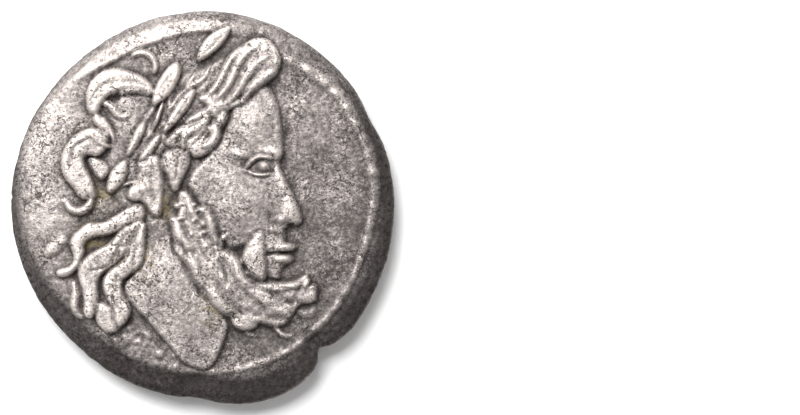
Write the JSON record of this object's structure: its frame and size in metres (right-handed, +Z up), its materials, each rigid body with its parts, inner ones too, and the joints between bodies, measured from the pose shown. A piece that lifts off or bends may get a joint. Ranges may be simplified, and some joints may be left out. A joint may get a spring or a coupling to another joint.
{
  "type": "ancient silver coin",
  "caption": "Small thick hand-struck silver coin with a bearded, wreathed head in relief on one face and a winged figure crowning a trophy of arms on the other.",
  "frame": {"origin": "on the surface the coin lies on, under the middle of its outline", "axes": "+Z up through the thickness, out of the head side; +Y from the neck to the crown of the head; +X the way the head looks"},
  "size_m": [0.017, 0.0174, 0.0022],
  "materials": {
    "silver": "worn struck silver, satin on the high points, pitted and toned dark in the recesses"
  },
  "bodies": {
    "root": {"coin": "silver"}
  },
  "joints": []
}
